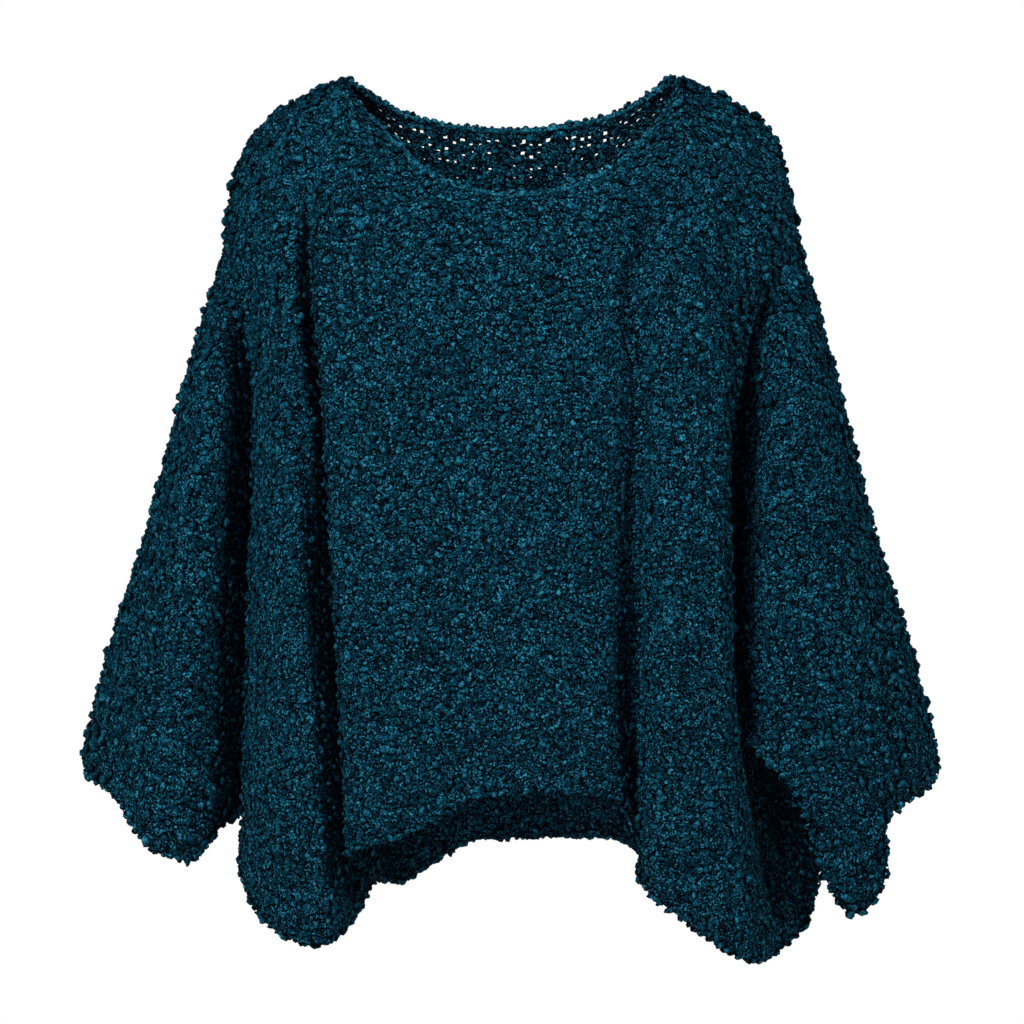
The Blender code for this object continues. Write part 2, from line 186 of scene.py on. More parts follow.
bpy.ops.mesh.primitive_plane_add(size=FLOOR_SIZE, location=(0.0, 0.0, FLOOR_HEIGHT))
floor = bpy.context.object
floor.name = "studio_floor"
paper, tree = new_material("pale_paper")
surface = add(tree, "BsdfPrincipled", {
    "Base Color": PAPER, "Roughness": 0.9, "Emission Color": PAPER, "Emission Strength": FLOOR_GLOW})
add(tree, "OutputMaterial", {"Surface": surface})
floor.data.materials.append(paper)
floor.visible_diffuse = False

bpy.ops.mesh.primitive_ico_sphere_add(subdivisions=4, radius=BACKDROP_RADIUS)
backdrop = bpy.context.object
backdrop.name = "studio_backdrop"
glow, tree = new_material("lit_backdrop")
add(tree, "OutputMaterial", {"Surface": add(tree, "Emission", {"Color": (1, 1, 1, 1), "Strength": 1.0})})
backdrop.data.materials.append(glow)
for ray in ("diffuse", "glossy", "transmission", "volume_scatter", "shadow"):
    setattr(backdrop, "visible_" + ray, False)
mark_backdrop(floor, backdrop)

for lamp in LAMPS:
    light = bpy.data.lights.new(lamp.name, "AREA")
    light.size = lamp.size
    light.energy = lamp.power
    holder = bpy.data.objects.new(lamp.name, light)
    holder.location = lamp.place
    holder.rotation_euler = lamp.turn
    scene.collection.objects.link(holder)
print("lamps:", ", ".join(lamp.name for lamp in LAMPS))

# %% [markdown]
# ## Fold lines
#
# The cloth is lofted through named lines. On a real pullover these are the crests and valleys
# that fall from the shoulders. Each row of a table is one line, in millimetres, in the frame's
# space: its end on the shoulder or neck, its place at five heights, and its end on the hem.

# %% Fold lines of the front and the back
def table(kind, rows):
    """Rows of numbers whose columns get the names of their kind."""
    return [kind(*row) for row in rows]


# A panel's side: the armhole, from its top on the overarm round to the underarm, then the side seam.
Side = namedtuple("Side", "over front_high front_low under back_low back_high waist thigh hem")
LEFT_SIDE = Side(
    (-236, 0, -134), (-224, -48, -172), (-214, -40, -225), (-208, 6, -292), (-215, 52, -225),
    (-225, 48, -170), (-198, 16, -420), (-200, 16, -530), (-214, 8, -632))
RIGHT_SIDE = Side(
    (237, 0, -132), (212, -52, -165), (192, -45, -215), (198, 6, -292), (202, 54, -225),
    (216, 50, -168), (201, 16, -420), (221, 14, -530), (253, 4, -640))

# One row for each fold line: quads up to the next line, the end on the shoulder or neck (x, y, z),
# its place at the five levels (x, y; none where it starts lower), and its end on the hem (x, y, z).
Fold = namedtuple("Fold", "name quads top yoke chest underarm waist thigh hem")
FRONT_FOLDS = table(Fold, (
    ("left drape, outside", 3, (-223, -3, -64), None,
     (-209, -60), (-207, -58), (-213, -52), (-216, -52), (-221, -44, -642)),
    ("left drape, middle", 3, (-209, -3, -37), (-204, -40),
     (-197, -76), (-194, -88), (-197, -92), (-196, -96), (-188, -88, -687)),
    ("left drape, crest", 5, (-183, -3, -18), (-181, -62),
     (-181, -88), (-175, -108), (-171, -113), (-164, -115), (-153, -103, -695)),
    ("left groove", 5, (-163, -3, -7), (-163, -68),
     (-163, -85), (-143, -78), (-128, -64), (-118, -56), (-112, -42, -654)),
    ("panel, left edge", 2, (-150, -3, -1), (-152, -74),
     (-157, -99), (-146, -124), (-137, -131), (-130, -131), (-126, -127, -617)),
    ("neck, left end", 2, (-137, -2, 3), (-135, -78),
     (-130, -107), (-118, -135), (-110, -140), (-105, -139), (-96, -136, -609)),
    ("neck, left side", 2, (-97, -55, -53), None,
     (-87, -114), (-80, -138), (-76, -138), (-72, -137), (-68, -134, -598)),
    ("neck, left low", 3, (-65, -80, -84), None,
     (-58, -117), (-48, -138), (-46, -136), (-43, -135), (-34, -132, -579)),
    ("middle", 3, (1, -92, -101), None,
     (1, -120), (2, -139), (4, -137), (7, -134), (12, -131, -572)),
    ("neck, right low", 2, (64, -80, -87), None,
     (58, -117), (50, -138), (48, -136), (50, -133), (58, -130, -574)),
    ("neck, right side", 3, (104, -55, -56), None,
     (84, -112), (80, -132), (78, -130), (80, -127), (86, -126, -580)),
    ("right valley", 4, (135, -2, 3), (136, -74),
     (104, -98), (104, -104), (102, -96), (100, -92), (104, -88, -618)),
    ("right drape, crest", 2, (154, -3, -3), (148, -72),
     (118, -112), (112, -134), (108, -143), (105, -145), (99, -132, -642)),
    ("right drape, middle", 3, (185, -3, -18), (180, -60),
     (146, -108), (141, -132), (139, -142), (139, -146), (139, -141, -675)),
    ("right drape, ridge", 3, (212, -3, -38), (207, -38),
     (175, -86), (169, -108), (168, -118), (171, -122), (190, -116, -706)),
    ("right drape, outside", 4, (227, -3, -85), None,
     (200, -70), (177, -62), (180, -60), (194, -56), (234, -60, -688)),
))
BACK_FOLDS = table(Fold, (
    ("left back, outside", 3, (-223, -3, -64), None,
     (-208, 62), (-203, 68), (-200, 72), (-204, 74), (-212, 60, -642)),
    ("left back, side", 3, (-209, -3, -37), (-204, 42),
     (-194, 76), (-184, 86), (-180, 92), (-184, 95), (-192, 86, -656)),
    ("left back, crest", 5, (-183, -3, -18), (-180, 56),
     (-172, 84), (-158, 98), (-153, 104), (-157, 107), (-160, 98, -663)),
    ("left back, valley", 5, (-163, -3, -7), (-163, 60),
     (-150, 86), (-134, 92), (-126, 88), (-124, 86), (-122, 80, -660)),
    ("left back, inner crest", 2, (-150, -3, -1), (-150, 64),
     (-134, 90), (-112, 106), (-100, 112), (-96, 112), (-92, 104, -665)),
    ("neck, left end", 4, (-137, -2, 3), (-130, 68),
     (-112, 92), (-88, 104), (-72, 106), (-66, 106), (-64, 102, -648)),
    ("back neck, left", 4, (-86, 46, -25), (-80, 76),
     (-70, 94), (-52, 104), (-40, 102), (-34, 100), (-30, 98, -629)),
    ("back neck, middle", 4, (-2, 63, -35), (-1, 82),
     (0, 96), (0, 104), (2, 104), (4, 106), (4, 104, -628)),
    ("back neck, right", 4, (82, 46, -25), (78, 76),
     (72, 94), (54, 106), (50, 112), (52, 114), (54, 112, -628)),
    ("neck, right end", 4, (135, -2, 3), (130, 68),
     (114, 92), (92, 104), (84, 104), (88, 102), (92, 100, -630)),
    ("right back, valley", 2, (154, -3, -3), (149, 64),
     (134, 88), (116, 96), (112, 90), (116, 88), (124, 84, -646)),
    ("right back, inner crest", 3, (185, -3, -18), (180, 56),
     (160, 84), (144, 100), (142, 106), (150, 108), (164, 102, -656)),
    ("right back, crest", 3, (212, -3, -38), (206, 42),
     (189, 74), (174, 90), (172, 94), (180, 94), (210, 86, -660)),
    ("right back, outside", 4, (227, -3, -85), None,
     (206, 60), (194, 66), (196, 70), (206, 68), (244, 54, -650)),
))

# %% Lines of the sleeves
# One row for each line of a sleeve, from the overarm round the front to the underarm and back.
Line = namedtuple("Line", "name upper elbow forearm cuff")
LEFT_SLEEVE = table(Line, (
    ("over", (-256, 0, -203), (-295, 2, -351), (-335, 0, -482), (-352, -4, -550)),
    ("outer corner", (-254, -32, -208), (-291, -38, -360), (-328, -36, -489), (-345, -30, -566)),
    ("front outside", (-249, -56, -220), (-280, -66, -372), (-310, -62, -498), (-321, -56, -581)),
    ("outer crest", (-242, -76, -240), (-264, -86, -388), (-286, -84, -512), (-286, -82, -623)),
    ("inner crest", (-234, -82, -262), (-248, -90, -404), (-262, -90, -522), (-259, -86, -630)),
    ("front inside", (-222, -52, -300), (-228, -50, -420), (-231, -50, -520), (-233, -48, -606)),
    ("under", (-212, 10, -322), (-211, 14, -425), (-213, 14, -515), (-216, 8, -590)),
    ("back inside", (-222, 60, -290), (-224, 66, -412), (-230, 64, -515), (-236, 58, -588)),
    ("back outside", (-247, 60, -225), (-274, 66, -378), (-306, 64, -498), (-314, 58, -572)),
))
RIGHT_SLEEVE = table(Line, (
    ("over", (256, 0, -203), (292, 2, -351), (332, 0, -482), (351, -4, -556)),
    ("outer corner", (253, -34, -210), (288, -42, -360), (322, -42, -487), (341, -32, -574)),
    ("front outside", (246, -60, -222), (275, -72, -372), (297, -72, -495), (301, -68, -600)),
    ("tongue, outside", (238, -78, -238), (263, -88, -384), (284, -86, -505), (297, -84, -651)),
    ("tongue, tip", (228, -88, -255), (249, -98, -398), (267, -96, -515), (273, -95, -674)),
    ("tongue, inside", (216, -90, -270), (233, -102, -406), (246, -103, -513), (253, -101, -650)),
    ("front middle", (203, -82, -290), (213, -98, -412), (218, -103, -506), (227, -103, -576)),
    ("front inside", (190, -60, -310), (189, -76, -415), (189, -82, -480), (186, -90, -531)),
    ("under", (210, 4, -325), (214, 6, -420), (228, 4, -480), (240, -14, -528)),
    ("back inside", (214, 60, -292), (222, 66, -410), (234, 62, -490), (252, 40, -540)),
    ("back outside", (243, 62, -225), (271, 68, -376), (300, 66, -495), (318, 50, -566)),
))

# %% [markdown]
# ## Curves
#
# A line through a few measured points should turn softly. Each span is a cubic whose slopes come
# from the parabola through three neighbouring points.

# %% Curves
def unit(vectors):
    return vectors / np.maximum(np.linalg.norm(vectors, axis=-1), 1e-9)[..., None]


def lengths_along(points):
    """How far along a polyline each of its points is."""
    return np.concatenate([[0], np.cumsum(np.linalg.norm(np.diff(points, axis=0), axis=1))])


def through(points, quads, closed=False, before=None, after=None):
    """A curve through points with quads[i] steps on its span i, both ends included unless closed.
    before and after are points past its ends, which it only turns towards."""
    first, last = int(before is not None), int(after is not None)
    points = np.array([before] * first + list(points) + [after] * last, float)
    steps = np.roll(points, -1, axis=0) - points
    chords = np.maximum(np.linalg.norm(steps, axis=1), 1e-6)
    rises = steps / chords[:, None]
    weights = (chords / (chords + np.roll(chords, 1)))[:, None]
    slope = np.roll(rises, 1, axis=0) * weights + rises * (1 - weights)
    if not closed:
        slope[0], slope[-1] = 2 * rises[0] - slope[1], 2 * rises[-2] - slope[-2]
    made = []
    for i, count in enumerate(quads, first):
        j = (i + 1) % len(points)
        t = np.arange(count)[:, None] / count
        made.append(
            (2 * t**3 - 3 * t**2 + 1) * points[i] + (3 * t**2 - 2 * t**3) * points[j]
            + ((t**3 - 2 * t**2 + t) * slope[i] + (t**3 - t**2) * slope[j]) * chords[i])
    return np.vstack(made if closed else made + [points[j][None]])


def even(points, steps, *beyond):
    """The curve through points, cut into equal lengths."""
    return spaced(through(points, [CURVE_STEPS] * (len(points) - 1), False, *beyond), steps)


def spaced(fine, steps):
    """steps + 1 points at equal lengths along a polyline."""
    lengths = lengths_along(fine)
    wanted = np.linspace(0, lengths[-1], steps + 1)
    return np.stack([np.interp(wanted, lengths, fine[:, axis]) for axis in range(3)], axis=1)

# %% [markdown]
# ## Front and back
#
# FINE says how much closer the cloth's rows and columns lie than those of the solid frame.
# Below the underarm the front and the back are one round curve, as a side seam doesn't show.

# %% Front and back
FINE = 3  # columns of cloth for each of the frame's
ROWS = 28 * 6
ARMHOLE_ROWS = 12 * 6
SLEEVE_ROWS = 18 * 3
TOP_BLEND = 0.25  # share of the length over which the neckline's own curve fades out
CURVE_STEPS = 12
FIRST_QUADS = 4
HEIGHTS = (-75.0, -145.0, -280.0, -420.0, -530.0)  # of yoke, chest, underarm, waist and thigh
NECK_ENDS = {"front": ("neck, left end", "right valley"), "back": ("neck, left end", "neck, right end")}
FOLDS = {"front": FRONT_FOLDS, "back": BACK_FOLDS}


def quads_across(face):
    """The quads from a panel's left side to its first fold, and from each fold to the next line."""
    return [FIRST_QUADS * FINE, *(fold.quads * FINE for fold in FOLDS[face])]


def middle_points(fold):
    """The fold line's places at the levels between its two ends."""
    places = (fold.yoke, fold.chest, fold.underarm, fold.waist, fold.thigh)
    return [(*place, height) for place, height in zip(places, HEIGHTS) if place]


def fold_line(fold, other_face):
    """The fold line from its top to the hem in ROWS equal steps, rounded over the shoulder seam."""
    over = [middle_points(other)[0] for other in FOLDS[other_face] if other.top == fold.top]
    return even([fold.top, *middle_points(fold), fold.hem], ROWS, *over[:1])


def side_line(side, face):
    """A panel's side: round the armhole's front or back half, then down the side seam."""
    halves = (side.front_high, side.front_low), (side.back_high, side.back_low)
    (high, low), others = halves if face == "front" else halves[::-1]
    armhole = even([side.over, high, low, side.under], ARMHOLE_ROWS, *others)
    seam = even([side.under, side.waist, side.thigh, side.hem], ROWS - ARMHOLE_ROWS)
    return np.vstack([armhole[:-1], seam])


def neck_end_indexes(face):
    """Where the neckline's two ends come among a panel's lines, its side line being the first."""
    names = [fold.name for fold in FOLDS[face]]
    return tuple(names.index(end) + 1 for end in NECK_ENDS[face])


def round_both(front_points, front_quads, back_points, back_quads):
    """The front and the back half of one closed curve."""
    ring = np.vstack([front_points, back_points[-2:0:-1]])
    around = through(ring, front_quads + back_quads[::-1], closed=True)
    turn = sum(front_quads)
    return around[:turn + 1], np.vstack([around[turn:], around[:1]])[::-1]


def panels():
    """Grids of points (row, column, xyz) of the front and the back."""
    lines = {}
    for face, other in (("front", "back"), ("back", "front")):
        folds = (fold_line(fold, other) for fold in FOLDS[face])
        lines[face] = np.array([side_line(LEFT_SIDE, face), *folds, side_line(RIGHT_SIDE, face)])
    quads = {face: quads_across(face) for face in lines}
    pairs, necks = [], []
    for row in range(ROWS + 1):
        halves = [part for face in lines for part in (lines[face][:, row], quads[face])]
        above = row < ARMHOLE_ROWS
        pairs.append((through(*halves[:2]), through(*halves[2:])) if above else round_both(*halves))
    for face in lines:
        first, last = neck_end_indexes(face)
        necks += [lines[face][first:last + 1, 0], quads[face][first:last]]
    near_top = np.clip(1 - np.arange(ROWS + 1) / (ROWS * TOP_BLEND), 0, 1)[:, None, None] ** 2
    made = []
    for face, points, neck in zip(lines, zip(*pairs), round_both(*necks)):
        grid, tops, (first, last) = np.array(points), lines[face][:, 0], neck_end_indexes(face)
        left = through(tops[:first + 1], quads[face][:first])
        right = through(tops[last:], quads[face][last:])
        top = np.vstack([left[:-1], neck, right[1:]])  # shoulder seam, half the neckline, shoulder seam
        made.append(grid + near_top * (top - grid[0]))
    return made

front_grid, back_grid = panels()
print("front", front_grid.shape, "back", back_grid.shape)

# %% [markdown]
# ## Sleeves
#
# A sleeve starts on the armhole that the two panels leave, so its first ring is made of their
# edge points, and the seam closes exactly.

# %% Sleeves
def sleeve(lines, front_edge, back_edge):
    """A sleeve's grid (row, round, xyz), from the armhole down to the cuff."""
    armhole = np.vstack([front_edge[:ARMHOLE_ROWS + 1], back_edge[ARMHOLE_ROWS - 1:0:-1]])[::2]
    names = [line.name for line in lines]
    turn = names.index("under")
    rings = [armhole]
    for station in ("upper", "elbow", "forearm", "cuff"):
        points = [getattr(line, station) for line in lines]
        fine = through(points, [CURVE_STEPS] * len(points), closed=True)
        front_half = spaced(fine[:turn * CURVE_STEPS + 1], ARMHOLE_ROWS // 2)
        back_half = spaced(np.vstack([fine[turn * CURVE_STEPS:], fine[:1]]), ARMHOLE_ROWS // 2)
        rings.append(np.vstack([front_half[:-1], back_half[:-1]]))
    rings = np.array(rings)
    return np.array([even(rings[:, j], SLEEVE_ROWS) for j in range(rings.shape[1])]).transpose(1, 0, 2)

left_grid = sleeve(LEFT_SLEEVE, front_grid[:, 0], back_grid[:, 0])
right_grid = sleeve(RIGHT_SLEEVE, front_grid[:, -1], back_grid[:, -1])
print("sleeves", left_grid.shape, right_grid.shape)

# %% [markdown]
# ## Creases
#
# The frame has the main folds. The cloth turns into them more sharply than its wall does, so
# soft ridges stand at the lips of the deep grooves and troughs run in their bottoms. Weaker
# creases hang from the shoulders and cross the sleeves where the elbows bend. On the front and
# the back a crease runs between two fold lines, and on a sleeve along a path seen from the front
# or the back. Each is a rounded rise or fall towards the front or the back that fades out at its
# ends, by a few millimetres.

# %% Creases
# height is out of the garment, width how far from its middle the crease reaches, all in mm
Along = namedtuple("Along", "line share height width start end")
ALONG_FOLDS = {  # share is the way from the line to the next one, start and end are of the length
    "front": table(Along, (
        ("left drape, crest", 0.5, 12, 12, 0.14, 0.62),
        ("left groove", 0, -14, 14, 0.12, 0.62),
        ("left drape, crest", 0.1, 7, 9, 0.42, 1.3),
        ("left drape, crest", 0.6, -12, 13, 0.42, 1.3),
        ("left groove", 0, -8, 14, 0.42, 1.3),
        ("left groove", 1, 3, 7, 0.14, 1.3),
        ("left drape, middle", 0.3, 3, 12, 0.2, 1.1),
        ("right valley", 0, 10, 12, -0.1, 0.75),
        ("right valley", 0, 5, 12, 0.55, 1.3),
        ("right valley", 1, -7, 9, 0.35, 1.3),
        ("neck, right side", 0.5, -6, 21, 0.42, 1.3),
        ("right drape, middle", 1, 8, 9, 0.2, 1.3),
        ("right drape, ridge", 0.35, -8, 9, 0.2, 0.8),
        ("right drape, ridge", 0.55, -14, 16, 0.55, 1.3),
        ("right drape, crest", 0.6, -3, 9, 0.1, 0.6),
        ("right drape, middle", 0.7, 4, 11, 0.2, 1.2),
        ("neck, left low", 0.3, -2.2, 16, 0.25, 0.7),
        ("middle", 0.5, -2.5, 15, 0.35, 0.95),
    )),
    "back": table(Along, (
        ("left back, side", 0.6, 4, 14, 0.15, 1.2),
        ("left back, crest", 0.8, -9, 15, 0.15, 1.2),
        ("left back, inner crest", 0.5, 4, 13, 0.2, 0.9),
        ("back neck, left", 0.4, -4, 17, 0.3, 1.1),
        ("back neck, middle", 0.7, -5, 15, 0.2, 0.8),
        ("neck, right end", 0.8, -8, 14, 0.15, 1.2),
        ("right back, crest", 0.3, 4, 12, 0.2, 1.1),
    )),
}
MOST_CREASE = 14.0  # the furthest that creases together move the cloth
EDGE_FADE = 6  # rows or columns beside a seam over which creases fade out
END_FADE = 0.15  # of the length, where a crease starts and ends
FACING_SHARP = 2.5  # how soon a sleeve's crease ends where the cloth turns to the side
Across = namedtuple("Across", "face height width path")
ACROSS_SLEEVES = {  # path in x and z, face -1 for what faces the front and 1 for the back
    "sleeve_left": table(Across, (
        (-1, 8, 9, ((-223, -240), (-230, -400), (-237, -520), (-239, -630))),
        (-1, -3, 10, ((-262, -330), (-281, -470), (-300, -600))),
        (-1, -3, 8, ((-236, -330), (-262, -352), (-290, -350))),
        (1, -5, 11, ((-240, -250), (-262, -400), (-276, -600))),
        (1, -4, 9, ((-228, -345), (-255, -372), (-290, -362))),
    )),
    "sleeve_right": table(Across, (
        (-1, 6, 8, ((200, -300), (203, -410), (206, -520))),
        (-1, -4, 10, ((236, -270), (262, -430), (296, -600))),
        (-1, -3, 8, ((215, -372), (250, -380), (286, -360))),
        (1, -5, 12, ((232, -250), (256, -400), (282, -580))),
        (1, -4, 9, ((226, -352), (256, -378), (292, -366))),
    )),
}


def fade(share, start, end):
    """From 0 at start up to 1 and down again to 0 at end, softly."""
    rise = np.clip(np.minimum(share - start, end - share) / END_FADE, 0, 1)
    return rise * rise * (3 - 2 * rise)


def creased_along(grid, face, crease):
    """How far each point of a panel moves out for one crease."""
    number = [fold.name for fold in FOLDS[face]].index(crease.line)
    first, second = np.cumsum(quads_across(face))[number:number + 2]
    across = np.zeros(grid.shape[:2])
    across[:, 1:] = np.cumsum(np.linalg.norm(np.diff(grid, axis=1), axis=2), axis=1)
    middle = across[:, first] * (1 - crease.share) + across[:, second] * crease.share
    length = fade(np.arange(len(grid)) / (len(grid) - 1), crease.start, crease.end)
    return crease.height * length[:, None] * np.exp(-((across - middle[:, None]) / crease.width) ** 2)


def creased_across(grid, outward, crease):
    """The same for a sleeve. Only what faces the crease's side moves."""
    path = np.array(crease.path, float)
    flat = grid[..., [0, 2]]
    best, where = np.full(grid.shape[:2], 1e9), np.zeros(grid.shape[:2])
    for number, (start, end) in enumerate(zip(path[:-1], path[1:])):
        step = end - start
        along = np.clip(((flat - start) @ step) / (step @ step), 0, 1)
        apart = np.linalg.norm(flat - start - along[..., None] * step, axis=2)
        where = np.where(apart < best, (number + along) / (len(path) - 1), where)
        best = np.minimum(best, apart)
    facing = np.clip(outward[..., 1] * crease.face * FACING_SHARP, 0, 1)
    return crease.height * fade(where, -0.02, 1.02) * facing * np.exp(-(best / crease.width) ** 2)


bare = {"front": front_grid, "back": back_grid, "sleeve_left": left_grid, "sleeve_right": right_grid}
for face, creases in ALONG_FOLDS.items():
    grid = bare[face]
    total = sum(creased_along(grid, face, crease) for crease in creases)
    edge = np.minimum(np.arange(grid.shape[1]), np.arange(grid.shape[1])[::-1]) / EDGE_FADE
    total = np.clip(total * np.clip(edge, 0, 1), -MOST_CREASE, MOST_CREASE)
    grid[..., 1] += total * (-1 if face == "front" else 1)
    print(len(creases), "creases on the", face, "that move it up to", round(np.abs(total).max(), 1), "mm")
for name, creases in ACROSS_SLEEVES.items():
    grid = bare[name]
    along = np.roll(grid, -1, axis=1) - np.roll(grid, 1, axis=1)
    outward = unit(np.cross(along, np.gradient(grid, axis=0)))
    outward *= np.sign(((grid - grid.mean(axis=1, keepdims=True)) * outward).sum())
    seam = np.clip(np.arange(len(grid)) / EDGE_FADE, 0, 1)[:, None]
    for crease in creases:
        grid[..., 1] += creased_across(grid, outward, crease) * seam * crease.face
    print(len(creases), "creases on", name)

# %% [markdown]
# ## Which way the cloth faces
#
# Bobbles stand on the cloth's right side, so every point needs a direction outwards. Where two
# pieces meet on a ridge they share it. In the deep valley under the arm each keeps its own.

# %% Directions
VALLEY_RISE = (0.05, 0.2)  # how steeply pieces rise from a seam where they stop sharing
FACING_APART = 0.4  # cosine of the turn at which they don't share at all


def quads_of(rows, columns, closed, flip):
    """Vertex indexes of a grid's quads, turned so that the knit's right side is outward."""
    i, j = np.mgrid[:rows - 1, :columns if closed else columns - 1].reshape(2, -1)
    left, right = i * columns + j, i * columns + (j + 1) % columns
    quads = np.stack([left, left + columns, right + columns, right], axis=1)
    return quads[:, ::-1] if flip else quads


def joined_normals(pieces):
    """Normals at every point of the given pieces, averaged where they meet."""
    points = np.vstack([grid.reshape(-1, 3) for grid, _, _ in pieces.values()])
    _, shared = np.unique(np.round(points, 3), axis=0, return_inverse=True)
    shared = shared.reshape(-1)
    total = np.zeros((shared.max() + 1, 3))
    start, found = 0, {}
    for grid, closed, flip in pieces.values():
        quads = quads_of(*grid.shape[:2], closed, flip) + start
        a, b, c, d = points[quads].transpose(1, 0, 2)
        face = np.cross(c - a, d - b)
        for corner in range(4):
            np.add.at(total, shared[quads[:, corner]], face)
        start += grid.size // 3
    rest = unit(total)[shared]
    for name, (grid, _, _) in pieces.items():
        found[name], rest = rest[:grid.size // 3].reshape(grid.shape), rest[grid.size // 3:]
    return found


def inward_steps(grid, closed):
    """At each edge point the direction into its own piece, and nothing elsewhere."""
    steps = np.zeros_like(grid)
    steps[0] = unit(grid[1] - grid[0])
    if not closed:
        steps[1:, 0] = unit(grid[1:, 1] - grid[1:, 0])
        steps[1:, -1] = unit(grid[1:, -2] - grid[1:, -1])
    return steps


def wall_normals(pieces):
    """Over a ridge such as the shoulder seam, pieces that meet share their normals, so their walls
    stay parallel. In the deep valley under the arm each piece keeps its own."""
    shared, own = joined_normals(pieces), {}
    for group in (("front", "back"), ("sleeve_left",), ("sleeve_right",)):
        own.update(joined_normals({name: pieces[name] for name in group}))
    mixed = {}
    for name, (grid, closed, _) in pieces.items():
        rise = (inward_steps(grid, closed) * shared[name]).sum(axis=-1)
        hollow = np.clip((rise - VALLEY_RISE[0]) / (VALLEY_RISE[1] - VALLEY_RISE[0]), 0, 1)
        hollow[(own[name] * shared[name]).sum(axis=-1) < FACING_APART] = 1.0
        hollow = hollow[..., None]
        mixed[name] = unit(shared[name] * (1 - hollow) + own[name] * hollow)
    return mixed


grids = {  # points, closed round, turned
    "front": (front_grid, False, False),
    "back": (back_grid, False, True),
    "sleeve_left": (left_grid, True, False),
    "sleeve_right": (right_grid, True, True),
}
normals = wall_normals(grids)
print("directions found for", ", ".join(normals))

# %% [markdown]
# ## Yarn
#
# The yarn is a looped one in a single teal, and its colour holds painted light: each loop has a
# painted highlight on its crest, and the gaps between loops have painted shade, nearly black. On
# the cloth itself a cell pattern draws the loops. The distance from a cell's middle rises and falls
# again, which gives a small ring with a dark middle and a dark edge, both painted shade, and a
# noise bends the rings out of round. The modelled bobbles carry two numbers in their mesh instead:
# how light each is, at random, and how far a point is from its root, near which it gets painted
# shade. Four yarns are made of it: for the bobbles, for the cloth under them, for the wrong side,
# which is lighter in the photograph, and for the rolled edge, which is lighter still. These two
# are lighter copies of the same yarn, with painted light in their colour.

# %% Yarn
# BLACK is reached in the painted shade of gaps and roots, BRIGHT in the painted highlights on crests;
# random tone moves between them too.
BLACK, TEAL, BRIGHT = linear("01080B"), linear("044A62"), linear("3AAACE")
BLACK_UP_TO, TEAL_AT = 0.24, 0.6  # how light, from 0 to 1, the yarn has to be for its colours


def yarn(name, teal, light, loop, drawn, speckle, relief):
    """Looped yarn between two colours. loop is a loop's size in metres, drawn the share of the
    light that its drawn rings decide, speckle what its fuzz decides, and relief the strength of the
    bump. The other numbers draw rings, strands and fuzz, matched to the photograph."""
    material, tree = new_material(name)

    def math(operation, *values):
        return add(tree, "Math", dict(enumerate(values)), operation=operation)

    def soft(source, start, end, low=0.0, high=1.0):
        """Rises softly from low to high while the source goes from start to end."""
        limits = {"Value": source, "From Min": start, "From Max": end, "To Min": low, "To Max": high}
        return add(tree, "MapRange", limits, interpolation_type="SMOOTHSTEP")

    place = add(tree, "TexCoord").outputs["Object"]
    bend = add(tree, "TexNoise", {"Vector": place, "Scale": 1.1 / loop, "Detail": 1.0})
    off = add(tree, "VectorMath", {0: bend.outputs["Color"], 1: (0.5,) * 3}, operation="SUBTRACT")
    bent = add(tree, "VectorMath", {0: off, 1: (loop * 1.3,) * 3, 2: place}, operation="MULTIPLY_ADD")
    cells = add(tree, "TexVoronoi", {"Vector": bent, "Scale": 1.0 / loop})
    # Painted light: rings and strands make the crests light as painted highlight and the middles and gaps
    # dark as painted shade; they also drive the bump.
    rings = soft(math("PINGPONG", cells, 0.29), 0.03, 0.25)
    contours = math("MULTIPLY", bend, 7.0)
    waves = math("PINGPONG", contours, 0.5)
    strands = soft(waves, 0.16, 0.46, high=0.85)
    crest = math("MAXIMUM", rings, strands)
    fine = add(tree, "TexNoise", {"Vector": place, "Scale": 3.2 / loop, "Detail": 1.0})
    fuzz = soft(fine, 0.33, 0.67)
    shade = add(tree, "Attribute", attribute_name="shade").outputs["Fac"]
    tip = add(tree, "Attribute", attribute_name="tip").outputs["Fac"]
    rest = math("MULTIPLY_ADD", crest, drawn, 1.0 - drawn)
    uneven = math("MULTIPLY_ADD", shade, 0.35, 0.5 - speckle / 2)
    fuzzy = math("MULTIPLY_ADD", fuzz, speckle, uneven)
    crested = math("MULTIPLY", fuzzy, rest)
    # Painted shade: the colour darkens towards a bobble's root, where it meets the cloth.
    painted_root_shade = soft(tip, 0.1, 0.75, low=0.1)
    lit = math("MULTIPLY", crested, painted_root_shade)
    ramp = add(tree, "ValToRGB", {"Fac": lit})
    dark, bright = ramp.color_ramp.elements
    dark.position, dark.color, bright.color = BLACK_UP_TO, BLACK, light
    ramp.color_ramp.elements.new(TEAL_AT).color = teal
    height = math("MULTIPLY_ADD", fuzz, 0.25, crest)
    bump = add(tree, "Bump", {"Height": height, "Strength": relief, "Distance": loop * 0.3})
    surface = add(tree, "BsdfPrincipled", {
        "Base Color": ramp, "Normal": bump, "Roughness": 0.85, "Specular IOR Level": 0.03,
        "Sheen Weight": 0.02, "Sheen Roughness": 0.5, "Sheen Tint": linear("2F8CA6")})
    add(tree, "OutputMaterial", {"Surface": surface})
    return material


